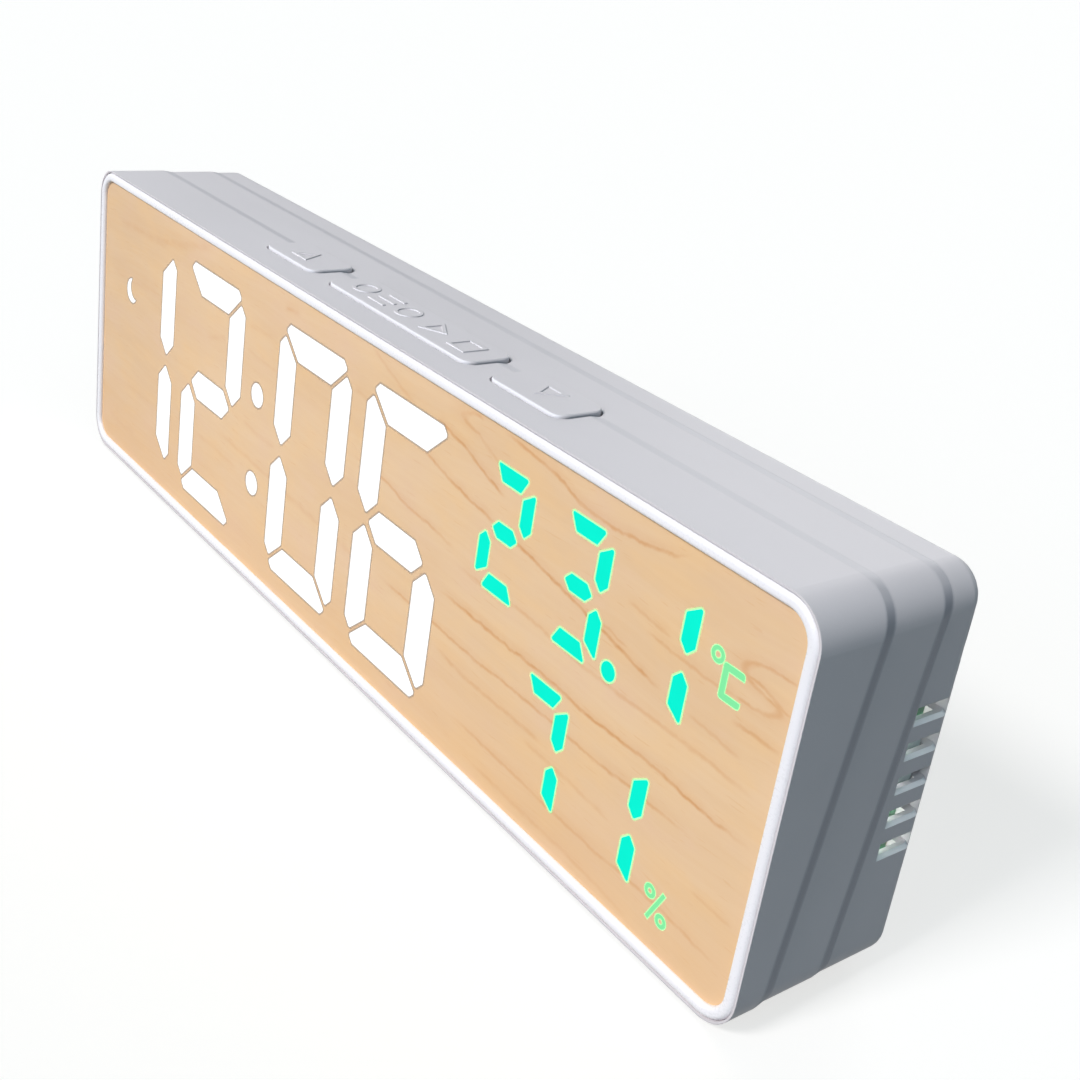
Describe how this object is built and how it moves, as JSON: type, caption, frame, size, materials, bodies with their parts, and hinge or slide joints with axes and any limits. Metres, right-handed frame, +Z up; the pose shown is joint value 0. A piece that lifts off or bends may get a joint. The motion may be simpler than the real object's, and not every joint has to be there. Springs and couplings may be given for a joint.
{
  "type": "digital desk clock",
  "caption": "Free-standing digital clock with a wood-faced lit display, a row of top keys, side air slots and a rear battery door.",
  "frame": {"origin": "on the surface the clock stands on, under the middle of its width and depth", "axes": "+X to the right as seen by someone who reads the display, +Y to the back, +Z up"},
  "size_m": [0.19, 0.028, 0.0573],
  "materials": {
    "housing_plastic": "satin",
    "frame_plastic": "glossy",
    "wood_print": "satin printed film",
    "white_window": "lit white",
    "cyan_window": "lit cyan",
    "clear_plastic": "clear",
    "black_foam": "closed-cell foam",
    "white_moulding": "matte",
    "white_diffuser": "milky",
    "cyan_diffuser": "milky",
    "led_resin": "clear resin",
    "green_board": "solder mask",
    "black_resin": "moulded",
    "bright_can": "bright",
    "connector_white": "moulded",
    "screw_steel": "zinc plated",
    "cell_sleeve": "plain printed sleeve",
    "contact_metal": "nickel plated",
    "sensor_grey": "moulded",
    "lead_jacket": "soft",
    "foot_rubber": "matte"
  },
  "bodies": {
    "clock_body": {"front_housing": "housing_plastic", "rear_cover": "housing_plastic", "front_frame": "frame_plastic", "wood_film": "wood_print", "time_windows": "white_window", "climate_windows": "cyan_window", "clear_panel": "clear_plastic", "display_foam": "black_foam", "display_reflector": "white_moulding", "time_diffusers": "white_diffuser", "climate_diffusers": "cyan_diffuser", "led_chips": "led_resin", "main_board": "green_board", "power_board": "green_board", "sensor_board": "green_board", "clock_chip": "black_resin", "driver_chip": "black_resin", "quartz_crystal": "bright_can", "buzzer": "black_resin", "supply_capacitor": "bright_can", "chip_resistors": "black_resin", "lead_headers": "connector_white", "key_switches": "black_resin", "board_screws": "screw_steel", "cover_screws": "screw_steel", "battery_cells": "cell_sleeve", "battery_contacts": "contact_metal", "power_inlet": "contact_metal", "inlet_insulator": "black_resin", "air_sensor": "sensor_grey", "sensor_leads": "lead_jacket", "power_leads": "lead_jacket", "battery_leads": "lead_jacket", "rubber_feet": "foot_rubber"},
    "left_key_body": {"left_key": "housing_plastic", "left_plunger": "white_moulding"},
    "centre_key_body": {"centre_key": "housing_plastic", "centre_plunger": "white_moulding"},
    "right_key_body": {"right_key": "housing_plastic", "right_plunger": "white_moulding"},
    "door_body": {"battery_door": "housing_plastic"}
  },
  "joints": [
    {"name": "left_key_press", "type": "slide", "parent": "clock_body", "child": "left_key_body", "axis": [0, 0, -1], "range_m": [0, 0.0005], "stiffness_N_per_m": 900, "springref_m": -0.0008},
    {"name": "centre_key_press", "type": "slide", "parent": "clock_body", "child": "centre_key_body", "axis": [0, 0, -1], "range_m": [0, 0.0005], "stiffness_N_per_m": 900, "springref_m": -0.0008},
    {"name": "right_key_press", "type": "slide", "parent": "clock_body", "child": "right_key_body", "axis": [0, 0, -1], "range_m": [0, 0.0005], "stiffness_N_per_m": 900, "springref_m": -0.0008},
    {"name": "battery_door_swing", "type": "hinge", "parent": "clock_body", "child": "door_body", "pos_m": [-0.0659, 0.014, 0.0287], "axis": [0, 0, 1], "range_deg": [0, 35]}
  ]
}
